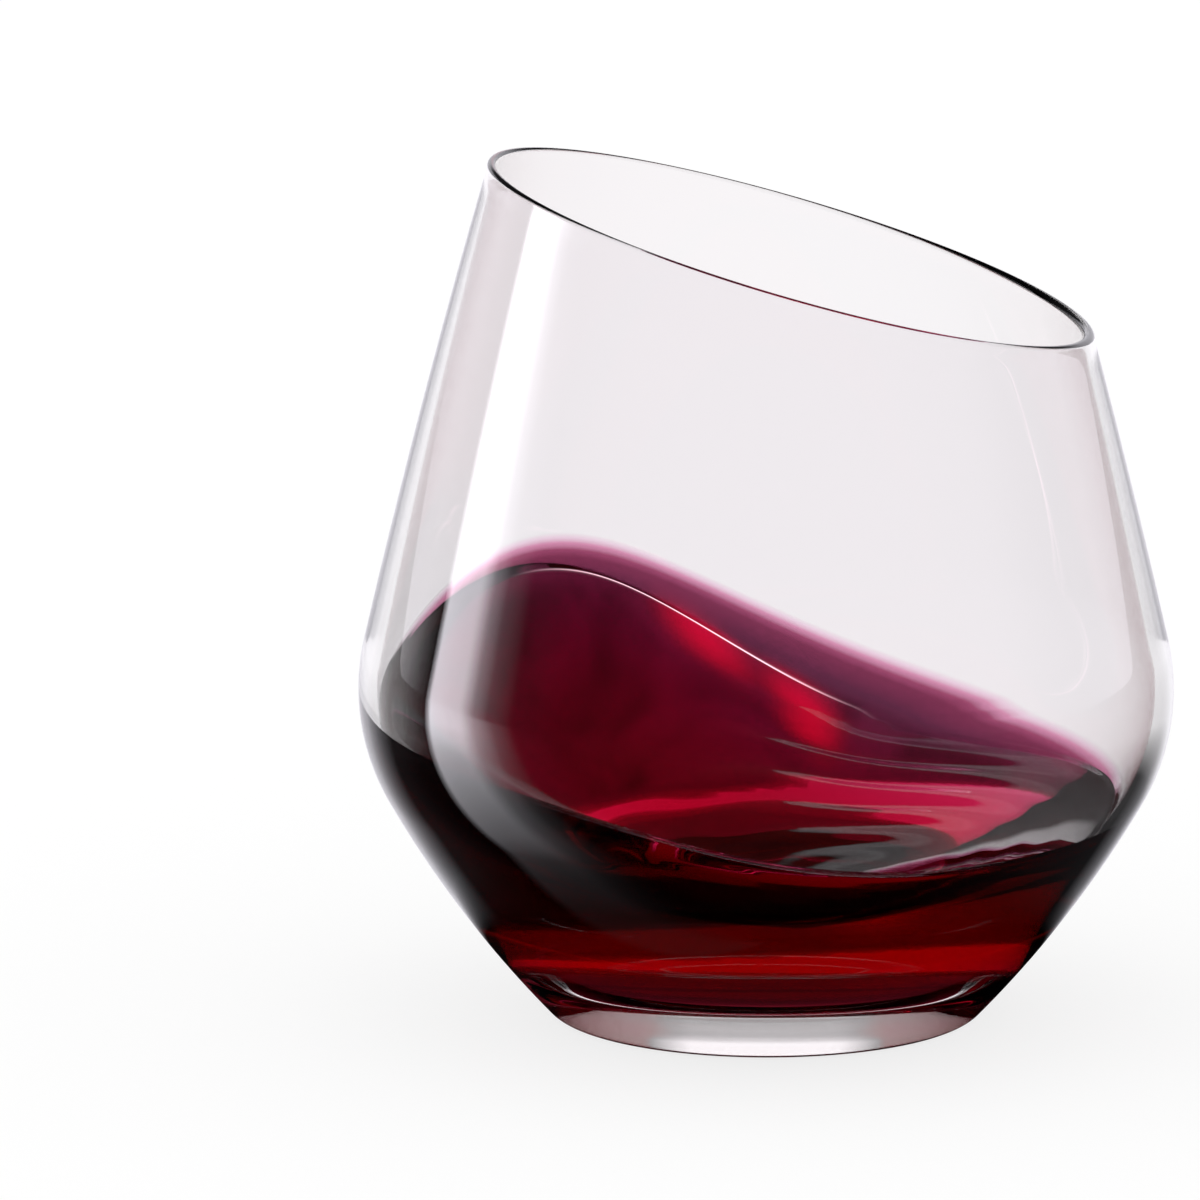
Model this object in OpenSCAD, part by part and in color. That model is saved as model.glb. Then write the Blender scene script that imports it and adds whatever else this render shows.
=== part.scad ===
// Stemless wine glass with a slanted rim, and the wine that swirls in it.
// Millimetres, +Z up, origin at the centre of the foot where the glass stands.
// The high side of the rim is towards -X.

/* [Foot] */
// Diameter of the flat ring that the glass stands on
foot_d = 51.8; // [44:0.2:58]
// Width of that ring, from its outer edge inwards
foot_ring_w = 3; // [1.5:0.1:6]
// Rise of the hollow under the foot, at its middle
foot_hollow_h = 0.6; // [0.2:0.1:1.5]
// Radius of the rounded edge round the foot
foot_edge_r = 3; // [1:0.1:5]

/* [Bowl, outside] */
// Largest outside diameter, at the shoulder
bowl_d = 104; // [98:0.5:112]
// Slope of the wall where it leaves the foot, from level
foot_slope = 46.7; // [42:0.1:50]
// Slope of the wall where the shoulder starts
shoulder_slope = 60.6; // [57:0.1:64]
// Radius of the rounded shoulder
shoulder_r = 27.6; // [20:0.1:32]
// Slope of the wall where the shoulder ends and the wall leans inwards
upper_slope = 103; // [98:0.1:107]
// Radius of the slight outward bow of the upper wall
upper_bow_r = 1175; // [700:5:3000]

/* [Rim] */
// Height of the slanted rim's plane, on the glass's axis
rim_h = 100.1; // [85:0.1:115]
// Tilt of the rim's plane, up towards -X
rim_tilt = 15.97; // [0:0.01:20]
// Thickness of the wall at the rim
rim_t = 1.15; // [0.8:0.05:1.6]

/* [Bowl, inside] */
// Thickness of the wall at the shoulder
shoulder_t = 2.4; // [1.8:0.1:3]
// Thickness of the floor of the bowl, from the standing plane
floor_t = 9; // [7:0.1:11]
// Radius of the inside corner between floor and wall
floor_corner_r = 18; // [14:0.1:20]
// Slope at which that corner meets the bow of the inside wall, which rises to the shoulder
floor_corner_slope = 25; // [20:0.1:32]

/* [Wine] */
// Height of the level that the swirl adds to
wine_level = 23.7; // [20:0.1:27]
// Height that the wave adds at its crest
surge_h = 29.5; // [10:0.1:34]
// Direction of the crest, from +X towards +Y
surge_dir = 137.7; // [90:0.1:180]
// Sharpness of the wave around the crest
surge_focus_share = 1.94; // [1.5:0.01:2.5]
// How much steeper the wave falls on its back side
surge_skew_share = 1.35; // [0:0.01:1.4]
// Height that the tilt of the whole surface adds
sway_h = 4.6; // [0:0.1:6]
// Direction of that tilt, from +X towards +Y
sway_dir = -1.1; // [-30:0.1:30]
// Height of the lowest point of the surface
scoop_h = 20.5; // [16:0.1:24]
// Place of that lowest point, from the glass's axis towards +X
scoop_x = 4; // [-8:0.5:8]
// Place of that lowest point, from the glass's axis towards -Y
scoop_y = 20; // [4:0.5:22]
// Height of the thin coat that the wave leaves on the wall above itself
coat_h = 6; // [2:0.1:8]
// Thickness of that coat where it is thickest
coat_t = 1.5; // [0.5:0.1:2]
// Direction in which the coat is highest
coat_dir = 85; // [60:0.5:130]
// How far the rolled crest of the wave stands off the coat
lip_t = 4; // [1:0.1:5]
// Direction in which the crest stands off most
lip_dir = 105; // [80:0.5:140]
// Height of the narrow rim by which the wine clings to the wall all round
meniscus_h = 0.8; // [0.5:0.1:1.5]
// Thickness of that rim
meniscus_t = 0.2; // [0.1:0.05:0.4]
// Gap between the wine and the glass
wine_gap = 0.05; // [0.02:0.01:0.1]

/* [Hidden] */

// Overrun of the cuts past the faces that they open
over = 1;

// Steps along the curves
edge_steps = 5;
wall_steps = 10;
shoulder_steps = 14;
upper_steps = 6;
hollow_steps = 6;
corner_steps = 6;

// Sides and rows of the wine's skin
full_turn = 2 * acos(-1);
wine_sides = 60;
wine_corner_rows = 4;
wine_wall_rows = 9;

// How the coat and the rolled crest gather around their own directions
coat_focus_share = 4;
lip_focus_share = 2;
// How far the crest stands off, as a share of its most, in the direction where it stands off least
lip_least_share = 0.08;
// How the surface climbs from the scoop to the wall, where the wave is and where it is not
face_power_share = 2.4;
flat_power_share = 1.25;
// Rows of the coat: height up the coat, share of its thickness, share of the lip
coat_row_shares = [[0.75, 0.1, 0], [0.5, 0.4, 0], [0.25, 0.8, 0], [0.1, 1, 0], [0.05, 1, 0.05],
    [0.02, 1, 0.5], [0, 1, 0.95]];
// Rows of the face: share of the way from the scoop to the crest
face_row_shares = [1, 0.985, 0.96, 0.92, 0.86, 0.77, 0.65, 0.5, 0.34, 0.17, 0];
// Weight of a row itself when it is blended with the rows beside it
blend_share = 2 / 3;

// An arc starts at point p with slope a, turns left with radius r and ends with slope b
function arc_centre(p, r, a) = p + r * [-sin(a), cos(a)];
function on_arc(c, r, a) = c + r * [sin(a), -cos(a)];
function arc_points(c, r, a, b, n) = [for (i = [1:n]) on_arc(c, r, a + (b - a) * i / n)];

// Outside: foot edge, lower wall, shoulder and upper wall, each tangent to the next
bowl_r = bowl_d / 2;
foot_r = foot_d / 2;
lower_wall_r = (bowl_r - foot_r - foot_edge_r * sin(foot_slope) - shoulder_r * (1 - sin(shoulder_slope)))
    / (sin(shoulder_slope) - sin(foot_slope));
edge_c = arc_centre([foot_r, 0], foot_edge_r, 0);
edge_end = on_arc(edge_c, foot_edge_r, foot_slope);
lower_c = arc_centre(edge_end, lower_wall_r, foot_slope);
lower_end = on_arc(lower_c, lower_wall_r, shoulder_slope);
shoulder_c = arc_centre(lower_end, shoulder_r, shoulder_slope);
shoulder_end = on_arc(shoulder_c, shoulder_r, upper_slope);
upper_c = arc_centre(shoulder_end, upper_bow_r, upper_slope);

// The wall runs up past the high side of the rim before the slanted cut
blank_h = rim_h + bowl_r * tan(rim_tilt) + over;
function upper_slope_at(z) = acos(cos(upper_slope) - (z - shoulder_end[1]) / upper_bow_r);
upper_end_slope = upper_slope_at(blank_h);

// Inside: the shoulder is concentric, the upper wall thins to the rim, the lower wall thickens to the floor
inner_shoulder_r = shoulder_r - shoulder_t;
inner_shoulder_end = on_arc(shoulder_c, inner_shoulder_r, upper_slope);
inner_shoulder_start = on_arc(shoulder_c, inner_shoulder_r, shoulder_slope);
rim_slope = upper_slope_at(rim_h);
inner_top_slope = upper_slope_at(blank_h + over);
function upper_t(a) = shoulder_t + (rim_t - shoulder_t) * (a - upper_slope) / (rim_slope - upper_slope);
lower_bow_r = (inner_shoulder_start[1] - floor_t - floor_corner_r * (1 - cos(floor_corner_slope)))
    / (cos(floor_corner_slope) - cos(shoulder_slope));
inner_lower_c = arc_centre(inner_shoulder_start, lower_bow_r, shoulder_slope);
corner_end = on_arc(inner_lower_c, lower_bow_r, floor_corner_slope);
corner_c = arc_centre(corner_end, floor_corner_r, floor_corner_slope);

// Ball radius of a shallow cap of radius a and height h
function cap_r(a, h) = (a * a + h * h) / (2 * h);
hollow_r = foot_r - foot_ring_w;
hollow_ball_r = cap_r(hollow_r, foot_hollow_h);
hollow_angle = asin(hollow_r / hollow_ball_r);
function hollow_point(a) = [hollow_ball_r * sin(a), foot_hollow_h - hollow_ball_r * (1 - cos(a))];

outside_points = concat(
    [for (i = [0:hollow_steps]) hollow_point(hollow_angle * i / hollow_steps)],
    [[foot_r, 0]],
    arc_points(edge_c, foot_edge_r, 0, foot_slope, edge_steps),
    arc_points(lower_c, lower_wall_r, foot_slope, shoulder_slope, wall_steps),
    arc_points(shoulder_c, shoulder_r, shoulder_slope, upper_slope, shoulder_steps),
    arc_points(upper_c, upper_bow_r, upper_slope, upper_end_slope, upper_steps),
    [[0, blank_h]]);

inside_points = concat(
    [[0, floor_t], [corner_c[0], floor_t]],
    arc_points(corner_c, floor_corner_r, 0, floor_corner_slope, corner_steps),
    arc_points(inner_lower_c, lower_bow_r, floor_corner_slope, shoulder_slope, wall_steps),
    arc_points(shoulder_c, inner_shoulder_r, shoulder_slope, upper_slope, shoulder_steps),
    [for (i = [1:upper_steps])
        let (a = upper_slope + (inner_top_slope - upper_slope) * i / upper_steps)
        on_arc(upper_c, upper_bow_r - upper_t(a), a)],
    [[0, blank_h + over]]);

module glass_body() {
    color([0.93, 0.88, 0.90, 0.35])
    difference() {
        rotate_extrude($fn = 144) polygon(outside_points);
        rotate_extrude($fn = 144) polygon(inside_points);
        rim_cut();
    }
}

// Everything above the rim's slanted plane
module rim_cut() {
    translate([0, 0, rim_h])
    rotate([0, rim_tilt, 0])
    translate([-2 * bowl_d, -2 * bowl_d, 0])
    cube([4 * bowl_d, 4 * bowl_d, blank_h]);
}

// Radius of the wine against the wall at height z: the inside wall drawn in by the gap
function bulge(c, r, z) = c[0] + sqrt(r * r - (z - c[1]) * (z - c[1]));
function wine_wall(z) =
    z < inner_shoulder_start[1] ? bulge(inner_lower_c, lower_bow_r - wine_gap, z)
    : z < inner_shoulder_end[1] ? bulge(shoulder_c, inner_shoulder_r - wine_gap, z)
    : let (a = upper_slope_at(z)) bulge(upper_c, upper_bow_r, z) - (upper_t(a) + wine_gap) / sin(a);

// Height of the wave's crest on the wall in direction t: a wave on a tilted level
function surge(d) = exp((surge_focus_share - surge_skew_share * sin(d)) * (cos(d) - 1));
function wine_crest(t) = wine_level + surge_h * surge(t - surge_dir) + sway_h * cos(t - sway_dir);

// The coat above the crest and the lip below it swell around their own directions
function swell_share(t, focus_share) = pow((1 + cos(t)) / 2, focus_share);
function coat_rise(t) = meniscus_h + coat_h * swell_share(t - coat_dir, coat_focus_share);
function film_t(t) = meniscus_t + coat_t * swell_share(t - coat_dir, coat_focus_share);
function lip_out(t) = lip_t * (lip_least_share + (1 - lip_least_share) * swell_share(t - lip_dir, lip_focus_share));

// A point of the wine in direction t at height z, drawn in from the wall
function wine_point(t, z, in) = let (r = wine_wall(z) - in) [r * cos(t), r * sin(t), z];

// Rows of the free surface in direction t: down the coat, over the crest, down the face to the scoop
scoop = [scoop_x, -scoop_y, scoop_h];
function face_point(crest, share, power) = [
    scoop[0] + (crest[0] - scoop[0]) * share,
    scoop[1] + (crest[1] - scoop[1]) * share,
    scoop[2] + (crest[2] - scoop[2]) * pow(share, power)];
function surface_rows(t) =
    let (
        crest_h = wine_crest(t),
        crest = wine_point(t, crest_h, film_t(t) + lip_out(t)),
        power = flat_power_share + (face_power_share - flat_power_share) * surge(t - surge_dir)
    )
    concat(
        [wine_point(t, crest_h + coat_rise(t), 0)],
        [for (row = coat_row_shares)
            wine_point(t, crest_h + coat_rise(t) * row[0], film_t(t) * row[1] + lip_out(t) * row[2])],
        [for (share = face_row_shares) face_point(crest, share, power)]);
surface_count = len(coat_row_shares) + len(face_row_shares) + 1;

// Each row is blended with the rows beside it, which rounds the lip
function blended(rows, i) = rows[i] * blend_share
    + (rows[max(i - 1, 0)] + rows[min(i + 1, len(rows) - 1)]) * (1 - blend_share) / 2;

// One section of the wine in direction t, from under its middle, out, up the wall and back over the top
wine_foot = on_arc(corner_c, floor_corner_r - wine_gap, floor_corner_slope);
function wine_section(t) =
    let (edge_h = wine_crest(t) + coat_rise(t), rows = surface_rows(t))
    concat(
        [for (i = [0:wine_corner_rows])
            let (p = on_arc(corner_c, floor_corner_r - wine_gap, floor_corner_slope * i / wine_corner_rows))
            [p[0] * cos(t), p[0] * sin(t), p[1]]],
        [for (i = [1:wine_wall_rows])
            wine_point(t, wine_foot[1] + (edge_h - wine_foot[1]) * i / wine_wall_rows, 0)],
        [for (i = [0:surface_count - 1]) blended(rows, i)]);

wine_rings = wine_corner_rows + 1 + wine_wall_rows + surface_count;

module red_wine() {
    points = concat(
        [[0, 0, floor_t + wine_gap]],
        [for (k = [0:wine_sides - 1], p = wine_section(full_turn * k / wine_sides)) p],
        [scoop]);
    last = len(points) - 1;
    function at(k, i) = 1 + (k % wine_sides) * wine_rings + i;
    faces = concat(
        [for (k = [0:wine_sides - 1]) [0, at(k, 0), at(k + 1, 0)]],
        [for (k = [0:wine_sides - 1], i = [0:wine_rings - 2], f = [0, 1])
            f == 0 ? [at(k, i), at(k, i + 1), at(k + 1, i)]
            : [at(k + 1, i), at(k, i + 1), at(k + 1, i + 1)]],
        [for (k = [0:wine_sides - 1]) [at(k, wine_rings - 1), last, at(k + 1, wine_rings - 1)]]);
    color([0.25, 0.01, 0.04])
    polyhedron(points, faces);
}

glass_body();
red_wine();
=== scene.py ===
"""Looks of a stemless wine glass with a slanted rim, and of the wine that swirls in it.

Every length in the classes is in millimetres, as on a glassmaker's drawing, and becomes
metres where a mesh is made. The glass's axis is Z, and the rim's high side is towards -X.
"""

import logging
from dataclasses import dataclass
from enum import Enum

import bpy
import numpy as np
from mathutils import Euler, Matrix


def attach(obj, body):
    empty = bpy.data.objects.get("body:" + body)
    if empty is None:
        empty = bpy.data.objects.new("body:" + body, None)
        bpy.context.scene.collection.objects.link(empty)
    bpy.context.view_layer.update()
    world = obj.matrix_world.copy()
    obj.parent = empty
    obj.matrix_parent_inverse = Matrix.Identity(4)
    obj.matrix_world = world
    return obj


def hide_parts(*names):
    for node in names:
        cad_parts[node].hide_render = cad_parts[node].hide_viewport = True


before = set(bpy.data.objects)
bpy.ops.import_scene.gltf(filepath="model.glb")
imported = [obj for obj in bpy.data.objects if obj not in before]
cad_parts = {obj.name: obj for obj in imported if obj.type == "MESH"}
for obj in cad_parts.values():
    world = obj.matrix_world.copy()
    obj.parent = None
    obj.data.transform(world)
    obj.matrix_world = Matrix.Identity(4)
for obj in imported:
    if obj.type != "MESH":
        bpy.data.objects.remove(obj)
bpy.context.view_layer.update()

MM = 0.001
TAU = 2 * np.pi
GLASS_TINT = (0.967, 0.947, 0.963)
GLASS_IOR = 1.52
WINE_TINT = (1.0, 1.0, 1.0)
WINE_IOR = 1.345

# What a node takes as a value: a number or a grey, the three numbers of a colour, or a socket.
Shade = float | tuple[float, float, float] | bpy.types.NodeSocket

log = logging.getLogger("wine_glass")


def mesh_object(name: str, points: np.ndarray, faces: np.ndarray, slots: np.ndarray) -> bpy.types.Object:
    """Make a smooth-shaded mesh object at the origin from whole arrays.

    Args:
        name: Name of the piece.
        points: Points in millimetres, one row each.
        faces: Corner numbers, one row of four each; a triangle repeats its last corner.
        slots: Material slot number of each face.

    Returns:
        The new object, linked to the scene.
    """
    is_quad = faces[:, 2] != faces[:, 3]
    sizes = np.where(is_quad, 4, 3)
    keep = np.ones(faces.shape, bool)
    keep[:, 3] = is_quad
    mesh = bpy.data.meshes.new(name)
    mesh.vertices.add(len(points))
    mesh.vertices.foreach_set("co", (points * MM).astype(np.float32).ravel())
    mesh.loops.add(int(sizes.sum()))
    mesh.loops.foreach_set("vertex_index", faces[keep].astype(np.int32))
    mesh.polygons.add(len(faces))
    starts = np.concatenate([[0], np.cumsum(sizes)[:-1]])
    mesh.polygons.foreach_set("loop_start", starts.astype(np.int32))
    mesh.polygons.foreach_set("material_index", slots.astype(np.int32))
    mesh.update(calc_edges=True)
    mesh.validate()
    mesh.shade_smooth()
    piece = bpy.data.objects.new(name, mesh)
    bpy.context.scene.collection.objects.link(piece)
    return piece


def crease(piece: bpy.types.Object, first: int, count: int) -> None:
    """Mark the edges that join points of one ring as sharp, so light sees a crease there.

    Args:
        piece: The mesh object.
        first: Number of the ring's first point.
        count: Number of points in the ring.
    """
    mesh = piece.data
    ends = np.empty(len(mesh.edges) * 2, np.int32)
    mesh.edges.foreach_get("vertices", ends)
    inside = (ends >= first) & (ends < first + count)
    mesh.attributes.new("sharp_edge", "BOOLEAN", "EDGE")
    mesh.attributes["sharp_edge"].data.foreach_set("value", inside.reshape(-1, 2).all(1))


def write_layer(piece: bpy.types.Object, name: str, values: np.ndarray) -> None:
    """Write one value for each of a piece's points, which its finish reads by the name."""
    piece.data.attributes.new(name, "FLOAT", "POINT").data.foreach_set("value", values)


def spun_faces(rows: int, columns: int) -> np.ndarray:
    """Give the faces of rings that close around the axis, with a pole before and after them.

    Point 0 is the first pole, then each ring's points, and the last point is the last pole.

    Args:
        rows: Number of rings.
        columns: Number of points in a ring.

    Returns:
        Faces of four corners each, turned outwards where the rings run up the outside.
    """
    k = np.arange(columns)
    n = (k + 1) % columns
    last = 1 + rows * columns
    start = np.stack([np.zeros_like(k), 1 + n, 1 + k, 1 + k], 1)
    i = np.arange(rows - 1)[:, None] * columns + 1
    side = np.stack([i + k, i + n, i + columns + n, i + columns + k], -1).reshape(-1, 4)
    top = 1 + (rows - 1) * columns
    end = np.stack([top + k, top + n, np.full_like(k, last), np.full_like(k, last)], 1)
    return np.concatenate([start, side, end])


def turns(columns: int) -> np.ndarray:
    """Give the direction of each column round the axis, in radians."""
    return TAU * np.arange(columns) / columns


def spin(radius: np.ndarray, height: np.ndarray, turn: np.ndarray,
         poles: tuple[float, float]) -> np.ndarray:
    """Carry an outline round the axis: x = radius cos(turn), y = radius sin(turn), z = height.

    Args:
        radius: Radius by ring and column.
        height: Height by ring and column.
        turn: Direction of each column, in radians.
        poles: Heights of the points on the axis before the first ring and after the last.

    Returns:
        Points in the order that spun_faces expects.
    """
    x = radius * np.cos(turn)
    y = radius * np.sin(turn)
    rings = np.stack([x, y, np.broadcast_to(height, x.shape)], -1).reshape(-1, 3)
    return np.concatenate([[[0, 0, poles[0]]], rings, [[0, 0, poles[1]]]])


@dataclass(frozen=True)
class Arc:
    """One arc of an outline in the plane of radius and height, turning left as its slope grows.

    Its point at slope a is centre + r (sin a, -cos a).
    """

    centre: np.ndarray
    r: float
    low: float
    high: float

    @classmethod
    def from_start(cls, start: np.ndarray, r: float, low: float, high: float) -> "Arc":
        """Make the arc that starts at a point with slope low and ends with slope high."""
        return cls(np.asarray(start) + r * np.array([-np.sin(low), np.cos(low)]), r, low, high)

    def at(self, slope: np.ndarray | float, inset: np.ndarray | float = 0.0) -> np.ndarray:
        """Give the points at these slopes, moved towards the centre by an inset.

        Args:
            slope: Slopes along the arc, in radians.
            inset: How far the points move in.

        Returns:
            Radius and height, one row for each slope.
        """
        slope = np.asarray(slope, float)
        out = np.stack([np.sin(slope), -np.cos(slope)], -1)
        return self.centre + (self.r - np.asarray(inset))[..., None] * out

    def radius_at(self, height: np.ndarray, inset: float = 0.0) -> np.ndarray:
        """Give the arc's distance from the glass's axis at these heights."""
        r = self.r - inset
        return self.centre[0] + np.sqrt(np.maximum(r * r - (height - self.centre[1]) ** 2, 0))

    def steps(self, count: int) -> np.ndarray:
        """Give points at even steps of slope, without the first end."""
        return self.at(self.low + (self.high - self.low) * np.arange(1, count + 1) / count)


@dataclass
class GlassOutline:
    """Sizes of the glass in millimetres and degrees, and the arcs that follow from them."""

    foot_d: float = 51.8
    foot_ring_w: float = 3.0
    foot_hollow_h: float = 0.6
    foot_edge_r: float = 3.0
    bowl_d: float = 104.0
    foot_slope: float = 46.7
    shoulder_slope: float = 60.6
    shoulder_r: float = 27.6
    upper_slope: float = 103.0
    upper_bow_r: float = 1175.0
    rim_h: float = 100.1
    rim_tilt: float = 15.97
    rim_t: float = 1.15
    shoulder_t: float = 2.4
    floor_t: float = 9.0
    floor_corner_r: float = 18.0
    floor_corner_slope: float = 25.0
    rim_passes: int = 12

    def __post_init__(self) -> None:
        """Work out the arcs, each tangent to the one before."""
        a, b, c = np.radians([self.foot_slope, self.shoulder_slope, self.upper_slope])
        foot_r, bowl_r = self.foot_d / 2, self.bowl_d / 2
        reach = bowl_r - foot_r - self.foot_edge_r * np.sin(a) - self.shoulder_r * (1 - np.sin(b))
        self.edge = Arc.from_start(np.array([foot_r, 0.0]), self.foot_edge_r, 0.0, a)
        self.lower = Arc.from_start(self.edge.at(a), reach / (np.sin(b) - np.sin(a)), a, b)
        self.shoulder = Arc.from_start(self.lower.at(b), self.shoulder_r, b, c)
        self.shoulder_end = self.shoulder.at(c)
        self.upper = Arc.from_start(self.shoulder_end, self.upper_bow_r, c, c)
        self.inner_start = self.shoulder.at(b, self.shoulder_t)
        self.inner_end = self.shoulder.at(c, self.shoulder_t)
        corner = np.radians(self.floor_corner_slope)
        drop = self.inner_start[1] - self.floor_t - self.floor_corner_r * (1 - np.cos(corner))
        bow_r = drop / (np.cos(corner) - np.cos(b))
        self.inner_lower = Arc(Arc.from_start(self.inner_start, bow_r, b, c).centre, bow_r, corner, b)
        self.corner_end = self.inner_lower.at(corner)
        flat = Arc.from_start(self.corner_end, self.floor_corner_r, corner, corner)
        self.corner = Arc(flat.centre, self.floor_corner_r, 0.0, corner)
        self.rim_slope = float(self.slope_at(self.rim_h))

    def slope_at(self, height: np.ndarray | float) -> np.ndarray:
        """Give the slope of the upper wall's outside at these heights."""
        run = (np.asarray(height) - self.shoulder_end[1]) / self.upper_bow_r
        return np.arccos(np.cos(np.radians(self.upper_slope)) - run)

    def upper_t(self, slope: np.ndarray) -> np.ndarray:
        """Give the upper wall's thickness, which falls evenly with slope from shoulder to rim."""
        share = (slope - self.upper.low) / (self.rim_slope - self.upper.low)
        return self.shoulder_t + (self.rim_t - self.shoulder_t) * share

    def inner_radius(self, height: np.ndarray, inset: float = 0.0) -> np.ndarray:
        """Give the inside wall's distance from the axis, drawn in by an inset.

        Args:
            height: Heights above the foot's ring.
            inset: How far the wall is drawn in, measured across it.

        Returns:
            One radius for each height, from the lower arc, the shoulder or the upper wall.
        """
        z = np.asarray(height, float)
        slope = self.slope_at(np.maximum(z, self.inner_end[1] - 1))
        upper = self.upper.radius_at(z) - (self.upper_t(slope) + inset) / np.sin(slope)
        middle = self.shoulder.radius_at(z, self.shoulder_t + inset)
        lower = self.inner_lower.radius_at(z, inset)
        return np.where(z < self.inner_start[1], lower, np.where(z < self.inner_end[1], middle, upper))

    def rim_height(self, turn: np.ndarray) -> np.ndarray:
        """Give the height at which the outside wall meets the rim's slanted plane.

        The plane is z = rim_h - x tan(rim_tilt), and the wall's radius there depends on z in
        turn, so the height is found by repeating the plane's formula until it settles.

        Args:
            turn: Directions round the axis, in radians.

        Returns:
            One height for each direction.
        """
        z = np.full_like(turn, self.rim_h)
        for _ in range(self.rim_passes):
            z = self.rim_h - self.upper.radius_at(z) * np.cos(turn) * np.tan(np.radians(self.rim_tilt))
        return z


@dataclass
class Swirl:
    """Sizes of the wine's free surface in millimetres and degrees.

    Each entry of coat_rows is one row of control points on the coat: its share of the coat's
    height, and how much of the coat's thickness and of the lip it stands off the wall. The
    entries of face_shares are the rows down the face, as shares of the way out from the scoop.
    """

    level: float = 23.7
    surge_h: float = 29.5
    surge_dir: float = 137.7
    surge_focus: float = 1.94
    surge_skew: float = 1.35
    sway_h: float = 4.6
    sway_dir: float = -1.1
    scoop_h: float = 20.5
    scoop_x: float = 4.0
    scoop_y: float = -20.0
    coat_h: float = 6.0
    coat_t: float = 1.5
    coat_dir: float = 85.0
    coat_focus: float = 4.0
    lip_t: float = 4.0
    lip_dir: float = 105.0
    lip_focus: float = 2.0
    lip_least: float = 0.08
    meniscus_h: float = 0.8
    meniscus_t: float = 0.2
    face_power: float = 2.4
    flat_power: float = 1.25
    ripple_h: float = 0.26
    ripple_least: float = 0.04
    ripple_dir: float = 80.0
    ripple_rings: float = 7.0
    ripple_arms: int = 5
    ripple_focus: float = 4.0
    coat_rows: tuple[tuple[float, float, float], ...] = (
        (0.75, 0.1, 0.0), (0.5, 0.4, 0.0), (0.25, 0.8, 0.0), (0.1, 1.0, 0.0),
        (0.05, 1.0, 0.05), (0.02, 1.0, 0.5), (0.0, 1.0, 0.95))
    face_shares: tuple[float, ...] = (1.0, 0.985, 0.96, 0.92, 0.86, 0.77, 0.65, 0.5, 0.34, 0.17, 0.0)

    def controls(self) -> int:
        """Give how many control points a section of the surface has."""
        return 1 + len(self.coat_rows) + len(self.face_shares)

    def wave(self, turn: np.ndarray) -> np.ndarray:
        """Give the wave's share of its height, exp((focus - skew sin d)(cos d - 1)) at d from its crest."""
        d = turn - np.radians(self.surge_dir)
        return np.exp((self.surge_focus - self.surge_skew * np.sin(d)) * (np.cos(d) - 1))

    def crest(self, turn: np.ndarray) -> np.ndarray:
        """Give the height at which the bulk of the wine leaves the wall: a tilted level plus the wave."""
        tilt = self.sway_h * np.cos(turn - np.radians(self.sway_dir))
        return self.level + self.surge_h * self.wave(turn) + tilt

    def coated(self, turn: np.ndarray) -> np.ndarray:
        """Give the coat's share of its full height by direction: ((1 + cos d) / 2) to a power."""
        return ((1 + np.cos(turn - np.radians(self.coat_dir))) / 2) ** self.coat_focus

    def lip(self, turn: np.ndarray) -> np.ndarray:
        """Give how far the rolled crest stands off the coat, by the same formula as the coat's share."""
        swell = ((1 + np.cos(turn - np.radians(self.lip_dir))) / 2) ** self.lip_focus
        return self.lip_t * (self.lip_least + (1 - self.lip_least) * swell)

    def edge(self, turn: np.ndarray) -> np.ndarray:
        """Give the height of the wine's edge on the wall: the crest plus the coat above it."""
        return self.crest(turn) + self.meniscus_h + self.coat_h * self.coated(turn)

    def ripples(self, share: np.ndarray, turn: np.ndarray) -> np.ndarray:
        """Give the height of the ripples, which run as spiral arms round the scoop.

        It is h n(turn) p share^2 (1 - share) sin(rings share + arms turn), where p makes the
        greatest value of p share^2 (1 - share) 1, and n is 1 in the ripples' own direction and
        falls to ripple_least away from it.

        Args:
            share: Share of the way from the scoop to the foot of the crest.
            turn: Direction of each column, in radians.

        Returns:
            Heights to add, by row and column.
        """
        peak = 27 / 4
        rings = TAU * self.ripple_rings * share + self.ripple_arms * turn
        facing = (1 + np.cos(turn - np.radians(self.ripple_dir))) / 2
        near = self.ripple_least + (1 - self.ripple_least) * facing**self.ripple_focus
        return self.ripple_h * near * peak * share**2 * (1 - share) * np.sin(rings)


def spline_weights(controls: int, rows: int) -> np.ndarray:
    """Give the weights of a clamped cubic B-spline, one row for each point of the curve.

    The first and last control points count three times, so the curve starts and ends on them.

    Args:
        controls: Number of control points.
        rows: Number of points on the curve.

    Returns:
        Weights by curve point and control point.
    """
    index = np.clip(np.arange(-2, controls + 2), 0, controls - 1)
    t = np.linspace(0, controls + 1, rows)
    span = np.minimum(t.astype(int), controls)
    u = t - span
    basis = np.stack([(1 - u) ** 3, 3 * u**3 - 6 * u**2 + 4, -3 * u**3 + 3 * u**2 + 3 * u + 1, u**3], 1) / 6
    weights = np.zeros((rows, controls))
    for k in range(4):
        np.add.at(weights, (np.arange(rows), index[span + k]), basis[:, k])
    return weights


class GlassFace(Enum):
    """Material slots of the glass: the outside, the dry inside, and what the wine wets."""

    OUTSIDE = 0
    DRY = 1
    WET = 2


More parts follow.
